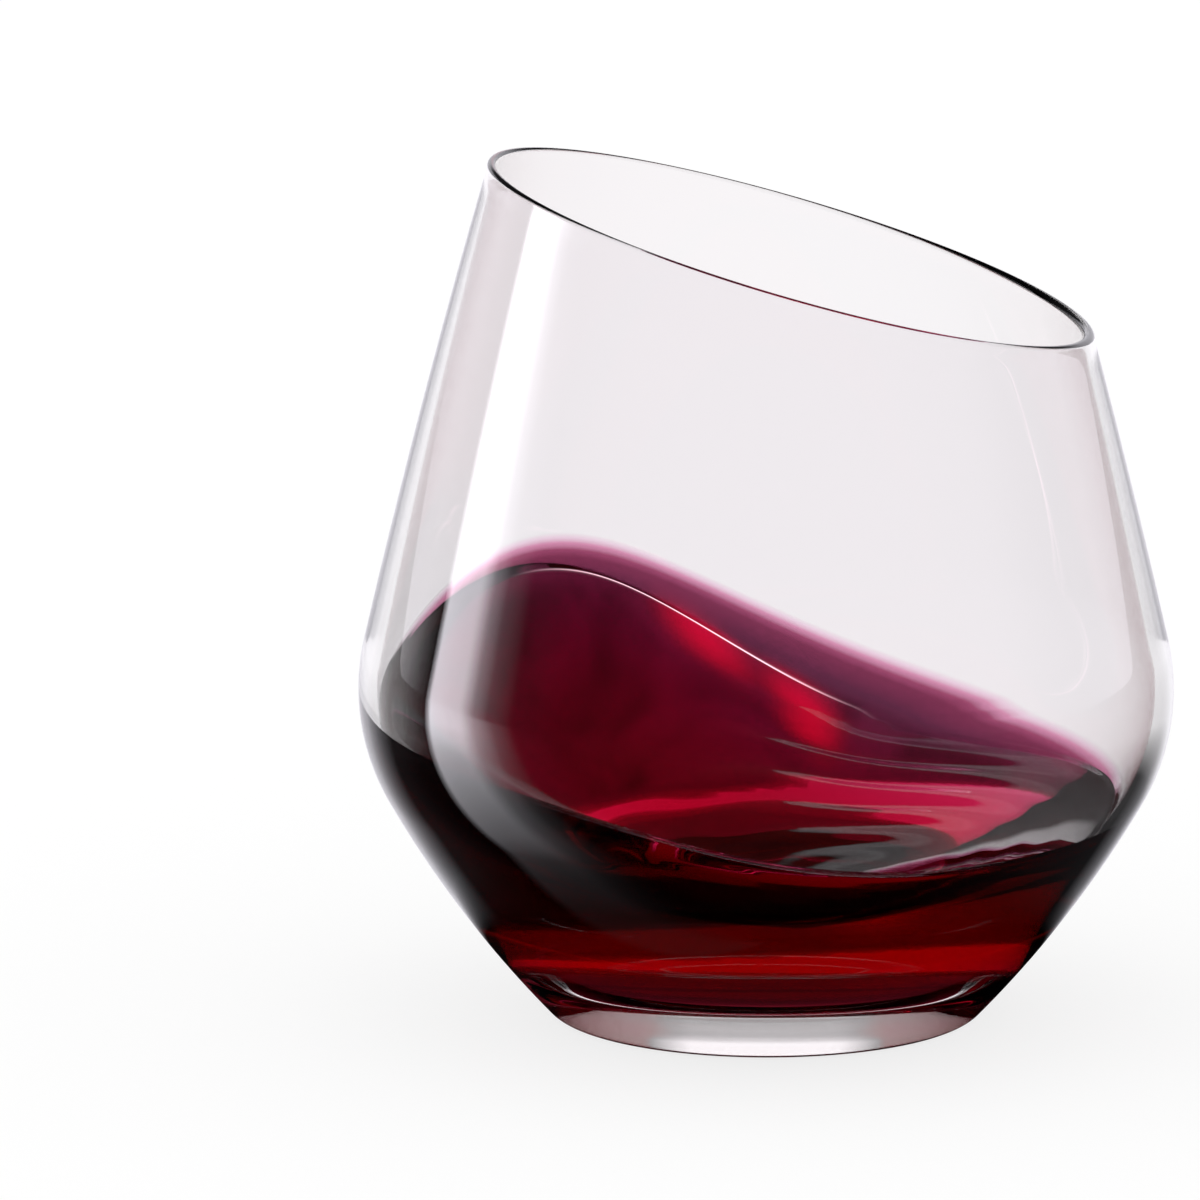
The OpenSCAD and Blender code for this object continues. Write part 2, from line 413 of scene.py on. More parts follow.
@dataclass
class GlassBody:
    """The whole glass as one closed skin of rings round the axis.

    Where the wine wets the inside, the stain gives it the wine's colour and, further down, painted
    shade, and the glow is painted red light. Their lengths are in millimetres and their directions
    in degrees.
    """

    outline: GlassOutline
    swirl: Swirl
    columns: int = 240
    hollow_rows: int = 8
    edge_rows: int = 10
    lower_rows: int = 22
    shoulder_rows: int = 26
    upper_rows: int = 36
    rim_rows: int = 16
    dry_rows: int = 56
    wet_rows: int = 40
    corner_rows: int = 16
    floor_rows: int = 10
    inset: float = 0.03
    ring_margin: float = 0.15
    bead_t: float = 0.12
    bead_h: float = 0.9
    stain_and_shade_reach: float = 10.0
    stain_and_shade_low: float = 17.8
    stain_and_shade_tilt: float = 5.0
    stain_and_shade_dir: float = 135.0
    stain_and_shade_fade: float = 1.6
    stain_and_shade_least: float = 0.19
    stain_and_shade_thin: float = 0.25
    stain_and_shade_floor: float = 11.4
    glow_at: float = 12.2
    glow_h: float = 3.2
    glow_fall: float = 0.17
    glow_dir: float = 93.0
    glow_reach: float = 15.0
    glow_gap: float = 19.0
    glow_least: float = 0.1

    def cap(self, radius: float, rise: float, count: int) -> np.ndarray:
        """Give points of a shallow ball cap from near its middle to its edge.

        Args:
            radius: Radius of the cap's edge.
            rise: Height of the cap.
            count: Number of points.

        Returns:
            Radius and fall from the cap's top, one row for each point.
        """
        ball = (radius * radius + rise * rise) / (2 * rise)
        angle = np.arcsin(radius / ball) * np.arange(1, count + 1) / count
        return np.stack([ball * np.sin(angle), ball * (1 - np.cos(angle))], 1)

    def outside(self, turn: np.ndarray) -> list[np.ndarray]:
        """Give the rings from the foot's hollow up to the rim.

        Args:
            turn: Direction of each column, in radians.

        Returns:
            Radius and height by ring and column, for the fixed part and for the upper wall.
        """
        o = self.outline
        hollow = self.cap(o.foot_d / 2 - o.foot_ring_w, o.foot_hollow_h, self.hollow_rows)
        hollow[:, 1] = o.foot_hollow_h - hollow[:, 1]
        foot_r = o.foot_d / 2
        ring = np.array([[foot_r - o.foot_ring_w / 2, 0.0], [foot_r - self.ring_margin, 0.0]])
        fixed = np.concatenate([hollow, ring, o.edge.steps(self.edge_rows),
                                o.lower.steps(self.lower_rows), o.shoulder.steps(self.shoulder_rows)])
        fixed[:, 0] -= self.inset
        rings = np.repeat(fixed[:, None, :], len(turn), 1)
        share = (np.arange(1, self.upper_rows + 1) / self.upper_rows)[:, None]
        top = o.rim_height(turn) - o.rim_t / 2
        z = o.shoulder_end[1] + (top - o.shoulder_end[1]) * share
        r = o.upper.radius_at(z) + self.bead(top - z) / 2 - self.inset
        return [rings, np.stack([r, z], -1)]

    def bead(self, below: np.ndarray) -> np.ndarray:
        """Give how much the fire-polished rim thickens the wall, fading out below it."""
        return self.bead_t * np.exp(-((below / self.bead_h) ** 2))

    def rim(self, turn: np.ndarray) -> np.ndarray:
        """Give the rings of the rounded rim: half a turn about the middle of the wall's top.

        Args:
            turn: Direction of each column, in radians.

        Returns:
            Radius and height by ring and column.
        """
        o = self.outline
        z = o.rim_height(turn) - o.rim_t / 2
        slope = o.slope_at(z)
        outer = o.upper.radius_at(z) + self.bead_t / 2 - self.inset
        inner = o.upper.radius_at(z) - o.upper_t(slope) / np.sin(slope) - self.bead_t / 2
        middle, half = (outer + inner) / 2, (outer - inner) / 2
        swing = (np.pi * np.arange(1, self.rim_rows) / self.rim_rows)[:, None]
        return np.stack([middle + half * np.cos(swing), z + half * np.sin(swing)], -1)

    def inside(self, turn: np.ndarray) -> tuple[np.ndarray, np.ndarray, np.ndarray]:
        """Give the dry rings down to the wine's edge, the wet ones below it, and the floor's.

        Args:
            turn: Direction of each column, in radians.

        Returns:
            Three sets of rings, each as radius and height by ring and column.
        """
        o = self.outline
        top = o.rim_height(turn) - o.rim_t / 2
        edge = self.swirl.edge(turn)
        share = (np.arange(self.dry_rows + 1) / self.dry_rows)[:, None]
        z = top + (edge - top) * share
        dry = np.stack([o.inner_radius(z) - self.bead(top - z) / 2, z], -1)
        share = (np.arange(1, self.wet_rows + 1) / self.wet_rows)[:, None]
        z = edge + (o.corner_end[1] - edge) * share
        wet = np.stack([o.inner_radius(z), z], -1)
        corner = o.corner.at(o.corner.high * np.arange(self.corner_rows - 1, -1, -1) / self.corner_rows)
        share = np.linspace(1, 0, self.floor_rows, endpoint=False)[1:, None]
        middle = np.array([0.0, o.floor_t])
        floor = np.concatenate([corner, middle + (corner[-1] - middle) * share])
        return dry, wet, np.repeat(floor[:, None, :], len(turn), 1)

    def stained_and_shaded(self, height: np.ndarray, depth: np.ndarray, turn: np.ndarray) -> np.ndarray:
        """Give how much the wine's colour and painted shade darken the inside of the glass, from 0 to 1.

        The stain is the depth as a share of stain_and_shade_reach, 1 at most. It falls to
        stain_and_shade_least at a height that is least in the direction stain_and_shade_dir, is thinner in
        front, and is full again on the floor.

        Args:
            height: Height of each point, by ring and column.
            depth: Depth of each point below the wine's edge.
            turn: Direction of each column, in radians.

        Returns:
            The stain by ring and column.
        """
        value = np.minimum(depth / self.stain_and_shade_reach, 1)
        low = self.stain_and_shade_low - self.stain_and_shade_tilt * np.cos(turn - np.radians(self.stain_and_shade_dir))
        kept = np.clip((height - low) / self.stain_and_shade_fade, 0, 1)
        behind = (1 + np.sin(turn)) / 2
        least = self.stain_and_shade_least * behind
        value *= (least + (1 - least) * kept) * (1 - self.stain_and_shade_thin * (1 - behind))
        return np.maximum(value, np.clip((self.stain_and_shade_floor - height) / self.stain_and_shade_fade, 0, 1))

    def glowing(self, depth: np.ndarray, turn: np.ndarray) -> np.ndarray:
        """Give how much painted red light glows in the wetted glass, from 0 to 1.

        The glow is a band exp(-((depth - at + fall aside) / h)^2) under the crest, where aside is
        the angle from glow_dir, cut into two patches by the square of a sine.

        Args:
            depth: Depth of each point below the wine's edge, by ring and column.
            turn: Direction of each column, in radians.

        Returns:
            The glow by ring and column.
        """
        aside = np.degrees(turn) - self.glow_dir
        band = np.exp(-(((depth - self.glow_at + self.glow_fall * aside) / self.glow_h) ** 2))
        cut = self.glow_least + (1 - self.glow_least) * np.sin(np.pi * aside / self.glow_gap) ** 2
        return band * (np.exp(-((aside / self.glow_reach) ** 4)) * cut)

    def mark(self, piece: bpy.types.Object, rows: int, first: int, turn: np.ndarray) -> None:
        """Write stain with painted shade, and painted glow, to the mesh, as one value for each point.

        Args:
            piece: The glass.
            rows: Number of rings.
            first: Number of the first ring that the wine wets.
            turn: Direction of each column, in radians.
        """
        points = np.empty(len(piece.data.vertices) * 3)
        piece.data.vertices.foreach_get("co", points)
        height = points.reshape(-1, 3)[1:-1, 2].reshape(rows, self.columns) / MM
        depth = np.maximum(self.swirl.edge(turn) - height, 0)
        # The stain holds the wine's colour and painted shade; the glow is painted red light.
        layers = {"stain_and_shade": self.stained_and_shaded(height, depth, turn), "glow": self.glowing(depth, turn)}
        for name, layer in layers.items():
            layer[:first] = 0
            write_layer(piece, name, np.concatenate([[0], layer.ravel(), layer[-1, :1]]))

    def build(self) -> bpy.types.Object:
        """Build the glass in place of its plain node.

        Returns:
            The new piece, without its materials.
        """
        o = self.outline
        turn = turns(self.columns)
        dry, wet, floor = self.inside(turn)
        rings = np.concatenate([*self.outside(turn), self.rim(turn), dry, wet, floor])
        points = spin(rings[..., 0], rings[..., 1], turn, (o.foot_hollow_h, o.floor_t))
        faces = spun_faces(len(rings), self.columns)
        first_wet = len(rings) - len(wet) - len(floor) - 1
        first_dry = first_wet - len(dry)
        slots = np.full(len(faces), GlassFace.OUTSIDE.value)
        slots[self.columns * (1 + first_dry):] = GlassFace.DRY.value
        slots[self.columns * (1 + first_wet):] = GlassFace.WET.value
        piece = mesh_object("glass_body_skin", points, faces, slots)
        self.mark(piece, len(rings), first_wet, turn)
        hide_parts("glass_body")
        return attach(piece, "root")

    def dress(self, piece: bpy.types.Object) -> None:
        """Give the glass its finishes, one for each kind of face.

        Args:
            piece: The glass.
        """
        finishes = {
            GlassFace.OUTSIDE: ClearFinish("clear_glass", GLASS_TINT, GLASS_IOR),
            GlassFace.DRY: ClearFinish("clear_glass_inside", GLASS_TINT, GLASS_IOR, glint=0.0),
            GlassFace.WET: StainedShadedFinish("clear_glass_wetted", GLASS_TINT, GLASS_IOR, glint=0.0),
        }
        for face in GlassFace:
            piece.data.materials.append(finishes[face].material())


@dataclass
class RedWine:
    """The wine as one closed skin: floor, wall, thin coat, rolled crest and scooped surface.

    The gleam is a painted highlight, light that the wine gives out where the crest rolls over. Its
    row and width are in spans of the surface's B-spline, and its direction and reach in degrees.
    """

    outline: GlassOutline
    swirl: Swirl
    columns: int = 240
    overlap: float = 0.05
    corner_rows: int = 16
    wall_rows: int = 40
    top_rows: int = 130
    gleam_row: float = 8.3
    gleam_w: float = 0.4
    gleam_dir: float = 104.0
    gleam_reach: float = 24.0

    def on_wall(self, height: np.ndarray, inset: np.ndarray | float, turn: np.ndarray) -> np.ndarray:
        """Give points at these heights that stand off the inside wall by an inset."""
        radius = self.outline.inner_radius(height) - inset
        return np.stack([radius * np.cos(turn), radius * np.sin(turn), height], -1)

    def surface(self, turn: np.ndarray) -> np.ndarray:
        """Give the free surface's rings, from the edge on the wall in to the middle.

        In each direction the section is a B-spline: down the thin coat, over the rolled crest,
        and down the face, whose height is scoop + (crest - scoop) share^power.

        Args:
            turn: Direction of each column, in radians.

        Returns:
            Points by row and column.
        """
        s = self.swirl
        edge, crest, coated = s.edge(turn), s.crest(turn), s.coated(turn)
        coat = edge - crest
        film = s.meniscus_t + s.coat_t * coated
        lip = s.lip(turn)
        start = [self.on_wall(edge, -self.overlap, turn)]
        for up, thin, off in s.coat_rows:
            start.append(self.on_wall(crest + up * coat, thin * film + off * lip, turn))
        base = self.on_wall(crest, film + lip, turn)
        power = s.flat_power + (s.face_power - s.flat_power) * s.wave(turn)
        share = np.array(s.face_shares)[:, None, None]
        pole = np.array([s.scoop_x, s.scoop_y])
        flat = pole + (base[:, :2] - pole) * share
        rise = s.scoop_h + (base[:, 2:] - s.scoop_h) * share ** power[:, None]
        face = np.concatenate([flat, rise], -1)
        controls = np.concatenate([np.array(start), face])
        weights = spline_weights(s.controls(), self.top_rows + 1)
        points = np.einsum("rc,cnk->rnk", weights, controls)
        reach = np.linalg.norm(points[..., :2] - pole, axis=-1)
        share = np.minimum(reach / np.linalg.norm(base[:, :2] - pole, axis=-1), 1)
        points[..., 2] += s.ripples(share, turn)
        return points

    def gleam(self, turn: np.ndarray) -> np.ndarray:
        """Give how brightly the painted highlight shines, where the crest rolls over.

        It is 1 along the crest's ridge and in the gleam's own direction, and falls off from
        there as exp(-offset^2) across the ridge and exp(-offset^4) along it.

        Args:
            turn: Direction of each column, in radians.

        Returns:
            The gleam by row and column, from 0 to 1.
        """
        row = np.linspace(0, self.swirl.controls() + 1, self.top_rows + 1)[:, None]
        along = (turn - np.radians(self.gleam_dir)) / np.radians(self.gleam_reach)
        return np.exp(-(((row - self.gleam_row) / self.gleam_w) ** 2)) * np.exp(-(along**4))

    def build(self) -> bpy.types.Object:
        """Build the wine in place of its plain node.

        Returns:
            The new piece, without its material.
        """
        o, s = self.outline, self.swirl
        turn = turns(self.columns)
        slopes = o.corner.high * np.arange(self.corner_rows + 1) / self.corner_rows
        base = o.corner.at(slopes, -self.overlap)
        edge = s.edge(turn)
        share = (np.arange(1, self.wall_rows + 1) / self.wall_rows)[:, None]
        z = base[-1, 1] + (edge - base[-1, 1]) * share
        wall = np.stack([o.inner_radius(z, -self.overlap), z], -1)
        rings = np.concatenate([np.repeat(base[:, None, :], self.columns, 1), wall])
        skin = spin(rings[..., 0], rings[..., 1], turn, (o.floor_t - self.overlap, 0.0))[:-1]
        top = self.surface(turn)[1:]
        points = np.concatenate([skin, top[:-1].reshape(-1, 3), top[-1:, 0]])
        faces = spun_faces(len(rings) + len(top) - 1, self.columns)
        piece = mesh_object("red_wine_skin", points, faces, np.zeros(len(faces), int))
        crease(piece, 1 + (len(rings) - 1) * self.columns, self.columns)
        gleam = self.gleam(turn)[1:-1].ravel()
        write_layer(piece, "gleam", np.concatenate([np.zeros(len(skin)), gleam, [0]]))
        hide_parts("red_wine")
        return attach(piece, "root")

    def dress(self, piece: bpy.types.Object) -> None:
        """Give the wine its finish."""
        finish = WineFinish("red_wine", WINE_TINT, WINE_IOR, glint=0.2)
        piece.data.materials.append(finish.material())


class Laid(Enum):
    """How one colour is laid over another."""

    MIX = "MIX"
    TIMES = "MULTIPLY"
    LIGHTER = "LIGHTEN"


class Easing(Enum):
    """How a ramp runs from stop to stop."""

    STRAIGHT = "LINEAR"
    EASED = "EASE"


class Step(Enum):
    """One step of arithmetic."""

    PLUS = "ADD"
    ABOVE = "GREATER_THAN"
    ANGLE = "ARCTAN2"
    FRACTION = "FRACT"


def feed(tree: bpy.types.NodeTree, socket: bpy.types.NodeSocket, value: Shade) -> None:
    """Give a node's input its value.

    Args:
        tree: Node tree of the material, group or world.
        socket: The input.
        value: What it gets: a socket is linked to it, and a grey becomes three equal numbers.
    """
    if isinstance(value, bpy.types.NodeSocket):
        tree.links.new(value, socket)
    elif isinstance(value, tuple):
        socket.default_value = (*value, 1)
    elif socket.type == "RGBA":
        socket.default_value = (value, value, value, 1)
    else:
        socket.default_value = value


def mixed(tree: bpy.types.NodeTree, factor: Shade, one: Shade, two: Shade,
          kind: Laid = Laid.MIX) -> bpy.types.NodeSocket:
    """Mix two colours by a factor.

    Args:
        tree: Node tree of the material, group or world.
        factor: How much of the second colour is laid on, from 0 to 1.
        one: First colour.
        two: Second colour.
        kind: How the second colour is laid over the first.

    Returns:
        The socket of the mixed colour.
    """
    mix = tree.nodes.new("ShaderNodeMix")
    mix.data_type = "RGBA"
    mix.blend_type = kind.value
    feed(tree, mix.inputs["Factor"], factor)
    # The node has sockets for numbers, vectors and colours side by side: 6, 7 and 2 are colours.
    feed(tree, mix.inputs[6], one)
    feed(tree, mix.inputs[7], two)
    return mix.outputs[2]


def worked_out(tree: bpy.types.NodeTree, step: Step, *given: Shade) -> bpy.types.NodeSocket:
    """Work out one step of arithmetic.

    Args:
        tree: Node tree of the material, group or world.
        step: What is done.
        given: The one or two values that it is done to.

    Returns:
        The socket of the result.
    """
    node = tree.nodes.new("ShaderNodeMath")
    node.operation = step.value
    for socket, value in zip(node.inputs, given):
        feed(tree, socket, value)
    return node.outputs[0]


def ranged(tree: bpy.types.NodeTree, value: bpy.types.NodeSocket, given: tuple[float, float],
           wanted: tuple[float, float] = (0.0, 1.0)) -> bpy.types.NodeSocket:
    """Carry a value from one range to another, without leaving that range.

    Args:
        tree: Node tree of the material, group or world.
        value: The value's socket.
        given: The range that the value comes in.
        wanted: The range that it goes to.

    Returns:
        The socket of the new value.
    """
    node = tree.nodes.new("ShaderNodeMapRange")
    node.inputs["From Min"].default_value, node.inputs["From Max"].default_value = given
    node.inputs["To Min"].default_value, node.inputs["To Max"].default_value = wanted
    tree.links.new(value, node.inputs["Value"])
    return node.outputs[0]


def layer_value(tree: bpy.types.NodeTree, name: str) -> bpy.types.NodeSocket:
    """Read a value that the piece carries at each of its points.

    Args:
        tree: The material's node tree.
        name: Name of the mesh's attribute.

    Returns:
        The value's socket.
    """
    node = tree.nodes.new("ShaderNodeAttribute")
    node.attribute_name = name
    return node.outputs["Fac"]


@dataclass(frozen=True)
class ClearFinish:
    """A clear dielectric face: its tint, its index of refraction and the tint of its glint."""

    name: str
    tint: tuple[float, float, float]
    ior: float
    glint: float = 1.0

    def material(self) -> bpy.types.Material:
        """Make the material with one Principled shader.

        Returns:
            The new material.
        """
        material = bpy.data.materials.new(self.name)
        material.use_nodes = True
        shader = material.node_tree.nodes["Principled BSDF"]
        shader.inputs["Base Color"].default_value = (*self.tint, 1.0)
        shader.inputs["Roughness"].default_value = 0.0
        shader.inputs["IOR"].default_value = self.ior
        shader.inputs["Specular Tint"].default_value = (self.glint,) * 3 + (1.0,)
        shader.inputs["Transmission Weight"].default_value = 1.0
        return material


@dataclass(frozen=True)
class StainedShadedFinish(ClearFinish):
    """The wetted glass: its tint deepens with the stain and painted shade, and reddens with the painted
    glow.

    Each entry of stained is a stain from 0 to 1, and the tint there: pink near the wine's edge,
    then near black, which is painted shade. The swirls make the deep stain uneven: they are a
    noise, whose values in swirl_range become those in swirl_shade.
    """

    stained_and_shaded: tuple[tuple[float, float, float, float], ...] = (
        (0.07, 0.87, 0.56, 0.74), (0.14, 0.56, 0.12, 0.27), (0.23, 0.14, 0.008, 0.034),
        (0.33, 0.052, 0.0022, 0.011), (0.6, 0.016, 0.0013, 0.0058), (0.9, 0.0105, 0.0011, 0.0042))
    glow: tuple[float, float, float] = (0.56, 0.0005, 0.01)
    swirl_scale: float = 45.0
    swirl_detail: float = 3.0
    swirl_distortion: float = 1.2
    swirl_range: tuple[float, float] = (0.35, 0.65)
    swirl_shade: tuple[float, float] = (0.3, 1.9)
    swirl_from: float = 0.7

    def deepened(self, tree: bpy.types.NodeTree, stain_and_shade: bpy.types.NodeSocket) -> bpy.types.NodeSocket:
        """Give the tint that belongs to a stain, whose deep end is painted shade.

        Args:
            tree: The material's node tree.
            stain_and_shade: Socket of the stain, from 0 to 1.

        Returns:
            The socket of the tint.
        """
        deepen = tree.nodes.new("ShaderNodeValToRGB")
        ramp = deepen.color_ramp
        ramp.elements[0].color = (*self.tint, 1)
        ramp.elements.remove(ramp.elements[1])
        for position, *colour in self.stained_and_shaded:
            ramp.elements.new(position).color = (*colour, 1)
        tree.links.new(stain_and_shade, deepen.inputs[0])
        return deepen.outputs[0]

    def swirled(self, tree: bpy.types.NodeTree) -> bpy.types.NodeSocket:
        """Give the shade of the swirls in the stain, about 1.

        Args:
            tree: The material's node tree.

        Returns:
            The socket of the shade.
        """
        coords = tree.nodes.new("ShaderNodeTexCoord")
        swirl = tree.nodes.new("ShaderNodeTexNoise")
        swirl.inputs["Scale"].default_value = self.swirl_scale
        swirl.inputs["Detail"].default_value = self.swirl_detail
        swirl.inputs["Distortion"].default_value = self.swirl_distortion
        tree.links.new(coords.outputs["Object"], swirl.inputs["Vector"])
        return ranged(tree, swirl.outputs["Fac"], self.swirl_range, self.swirl_shade)

    def material(self) -> bpy.types.Material:
        """Make the clear material with a tint that follows the stain, its painted shade and the painted
        glow.

        Returns:
            The new material.
        """
        material = ClearFinish.material(self)
        tree = material.node_tree
        # The tint darkens into painted shade as the stain deepens, and the glow paints red light on it.
        stain_and_shade = layer_value(tree, "stain_and_shade")
        deep = ranged(tree, stain_and_shade, (self.swirl_from, 1.0))
        tint = mixed(tree, deep, self.deepened(tree, stain_and_shade), self.swirled(tree), Laid.TIMES)
        tint = mixed(tree, layer_value(tree, "glow"), tint, self.glow)
        tree.links.new(tint, tree.nodes["Principled BSDF"].inputs["Base Color"])
        return material


@dataclass(frozen=True)
class WineFinish(ClearFinish):
    """The wine's face: as clear, with the drink's own absorption behind it, and a painted highlight."""

    colour: tuple[float, float, float] = (0.95, 0.0, 0.43)
    density: float = 210.0
    gleam: tuple[float, float, float] = (2.2, 1.5, 1.7)

    def material(self) -> bpy.types.Material:
        """Make the material with one Principled shader and one absorbing volume; emission paints the
        highlight.

        Returns:
            The new material.
        """
        material = ClearFinish.material(self)
        tree = material.node_tree
        volume = tree.nodes.new("ShaderNodeVolumeAbsorption")
        volume.inputs["Color"].default_value = (*self.colour, 1.0)
        volume.inputs["Density"].default_value = self.density
        tree.links.new(volume.outputs[0], tree.nodes["Material Output"].inputs["Volume"])
        shader = tree.nodes["Principled BSDF"]
        # Painted highlight: the wine gives out light where the gleam lies.
        shader.inputs["Emission Color"].default_value = (*self.gleam, 1.0)
        tree.links.new(layer_value(tree, "gleam"), shader.inputs["Emission Strength"])
        return material


@dataclass(frozen=True)
class Ramp:
    """Stops of a grey ramp: positions from 0 to 1, and how bright the studio is there."""

    stops: tuple[tuple[float, float], ...]
    smooth: Easing = Easing.STRAIGHT

    def read(self, tree: bpy.types.NodeTree, place: bpy.types.NodeSocket) -> bpy.types.NodeSocket:
        """Read the ramp at a place.

        A ramp's colours end at 1, so the stops are divided by the brightest, and multiplied by
        it again after the ramp.

        Args:
            tree: Node tree of the material, group or world.
            place: Socket of the position on the ramp.

        Returns:
            The socket of the brightness there.
        """
        node = tree.nodes.new("ShaderNodeValToRGB")
        ramp = node.color_ramp
        ramp.interpolation = self.smooth.value
        peak = max(bright for _, bright in self.stops)
        while len(ramp.elements) < len(self.stops):
            ramp.elements.new(0.5)
        for element, (position, bright) in zip(ramp.elements, self.stops):
            element.position = position
            element.color = (bright / peak,) * 3 + (1,)
        tree.links.new(place, node.inputs[0])
        return mixed(tree, 1.0, node.outputs[0], (peak,) * 3, Laid.TIMES)


@dataclass
class Studio:
    """Camera, floor, backdrop and soft lights.

    The lights are ramps. Those by azimuth run once round the glass, from +Y by way of -X. Those
    by height run from straight down to straight up. Those by distance run from the glass's axis
    out to floor_near.
    """

    camera_back: float = 1496.8
    camera_up: float = 361.7
    camera_pitch: float = 11.636
    camera_yaw: float = 0.81
    lens: float = 360.0
    sensor: float = 36.0
    camera_clip: float = 50.0
    floor_size: float = 6000.0
    floor_drop: float = 0.02
    floor_shift: float = 45.0
    floor_near: float = 400.0
    floor_paint: float = 0.22
    floor_light: float = 0.79
    crossings: float = 3.5
    bounces: int = 32
    mirror_bounces: int = 16
    cool: tuple[float, float, float] = (0.95, 0.93, 1.0)
    reddened: tuple[float, float, float] = (0.2, 0.006, 0.02)

    # What the glass's outside mirrors, by azimuth: in the backdrop and on the floor. The two
    # stops of 9 are the edges of the soft light.
    around: Ramp = Ramp((
        (0.0, 1.0), (0.14, 1.0), (0.16, 0.6), (0.185, 0.1), (0.193, 0.02), (0.199, 9.0), (0.235, 9.0),
        (0.25, 3.0), (0.265, 0.8), (0.29, 0.05), (0.33, 0.012), (0.66, 0.012), (0.70, 0.1),
        (0.74, 0.05), (0.78, 0.3), (0.83, 0.9), (0.86, 1.0), (1.0, 1.0)))
    beneath: Ramp = Ramp((
        (0.0, 1.0), (0.09, 1.0), (0.12, 0.35), (0.14, 0.03), (0.193, 0.03), (0.199, 9.0), (0.235, 9.0),
        (0.25, 4.0), (0.27, 1.0), (0.29, 0.05), (0.33, 0.012), (0.875, 0.03), (0.9, 0.3),
        (0.93, 1.0), (1.0, 1.0)))

    # How the mirrored floor brightens with distance, how the floor behind the foot does, and how
    # the floor does for light that was mirrored inside the glass. All three are painted shade, which
    # darkens the floor near the glass.
    fading: Ramp = Ramp((
        (0.0, 0.0), (0.13, 0.005), (0.15, 0.03), (0.18, 0.13), (0.25, 0.3), (0.32, 0.44),
        (0.62, 0.9), (1.0, 1.1)))
    clear: Ramp = Ramp(((0.0, 0.0), (0.115, 0.0), (0.145, 1.0), (1.0, 1.0)))
    beyond: Ramp = Ramp(((0.0, 0.02), (0.28, 0.04), (0.45, 0.9), (1.0, 1.0)))

    # What light finds after it was mirrored inside the glass, by azimuth: the wide part behind
    # the glass, and the narrow part for light that has also crossed the far wall.
    behind: Ramp = Ramp(((0.0, 1.0), (0.15, 1.0), (0.19, 0.02), (0.76, 0.02), (0.84, 1.0), (1.0, 1.0)))
    astern: Ramp = Ramp(((0.0, 1.0), (0.035, 1.0), (0.06, 0.03), (0.94, 0.03), (0.965, 1.0), (1.0, 1.0)))

    # Brightness by height: for mirrored light, for light straight through the glass, and for
    # light that was mirrored inside it and has crossed the far wall.
    overhead: Ramp = Ramp(((0.0, 1.0), (0.59, 1.0), (0.67, 0.06), (1.0, 0.01)), Easing.EASED)
    skyline: Ramp = Ramp(((0.0, 1.0), (0.7, 1.0), (0.78, 0.06), (1.0, 0.01)), Easing.EASED)
    bounced: Ramp = Ramp((
        (0.0, 1.3), (0.574, 1.3), (0.59, 0.3), (0.645, 0.3), (0.66, 0.5), (0.7, 0.5), (0.715, 0.02),
        (1.0, 0.01)))

    def camera(self) -> None:
        """Place the camera at the photograph's height, tilt and distance."""
        data = bpy.data.cameras.new("camera")
        data.lens = self.lens
        data.sensor_width = self.sensor
        data.clip_start = self.camera_clip * MM
        view = bpy.data.objects.new("camera", data)
        view.location = (0.0, -self.camera_back * MM, self.camera_up * MM)
        pitch, yaw = np.radians([90 - self.camera_pitch, self.camera_yaw])
        view.rotation_euler = Euler((pitch, 0.0, yaw))
        bpy.context.scene.collection.objects.link(view)
        bpy.context.scene.camera = view

    def azimuth(self, tree: bpy.types.NodeTree, split: bpy.types.Node) -> bpy.types.NodeSocket:
        """Give a direction's azimuth as a share of a turn, from +Y by way of -X.

        Args:
            tree: The group's node tree.
            split: Node with the direction's X, Y and Z.

        Returns:
            The socket of the azimuth, from 0 to 1.
        """
        angle = worked_out(tree, Step.ANGLE, split.outputs["X"], split.outputs["Y"])
        place = ranged(tree, angle, (np.pi, -np.pi), (-0.5, 0.5))
        return worked_out(tree, Step.FRACTION, worked_out(tree, Step.PLUS, place, 1.0))

    def glow_group(self) -> bpy.types.NodeTree:
        """Make the group that gives how bright the studio is in a direction from the glass.

        Returns:
            The group, with one output for each kind of light.
        """
        tree = bpy.data.node_groups.new("studio_glow", "ShaderNodeTree")
        tree.interface.new_socket("Direction", in_out="INPUT", socket_type="NodeSocketVector")
        for name in ("Around", "Overhead", "Bounced", "Behind", "Beneath", "Skyline"):
            tree.interface.new_socket(name, in_out="OUTPUT", socket_type="NodeSocketColor")
        nodes, links = tree.nodes, tree.links
        given = nodes.new("NodeGroupInput")
        out = nodes.new("NodeGroupOutput")
        unit = nodes.new("ShaderNodeVectorMath")
        unit.operation = "NORMALIZE"
        split = nodes.new("ShaderNodeSeparateXYZ")
        links.new(given.outputs[0], unit.inputs[0])
        links.new(unit.outputs[0], split.inputs[0])
        azimuth = self.azimuth(tree, split)
        level = ranged(tree, split.outputs["Z"], (-1.0, 1.0))
        astern = self.astern.read(tree, azimuth)
        bounced = mixed(tree, 1.0, self.bounced.read(tree, level), astern, Laid.TIMES)
        shown = {
            "Around": self.around.read(tree, azimuth),
            "Overhead": self.overhead.read(tree, level),
            "Skyline": self.skyline.read(tree, level),
            "Bounced": mixed(tree, 1.0, bounced, self.reddened, Laid.LIGHTER),
            "Behind": self.behind.read(tree, azimuth),
            "Beneath": self.beneath.read(tree, azimuth),
        }
        for name, socket in shown.items():
            links.new(socket, out.inputs[name])
        return tree

    def crossed(self, tree: bpy.types.NodeTree, path: bpy.types.Node) -> bpy.types.NodeSocket:
        """Give 1 where a ray has crossed more than one wall, which counts two each, else 0."""
        return worked_out(tree, Step.ABOVE, path.outputs["Transmission Depth"], self.crossings)

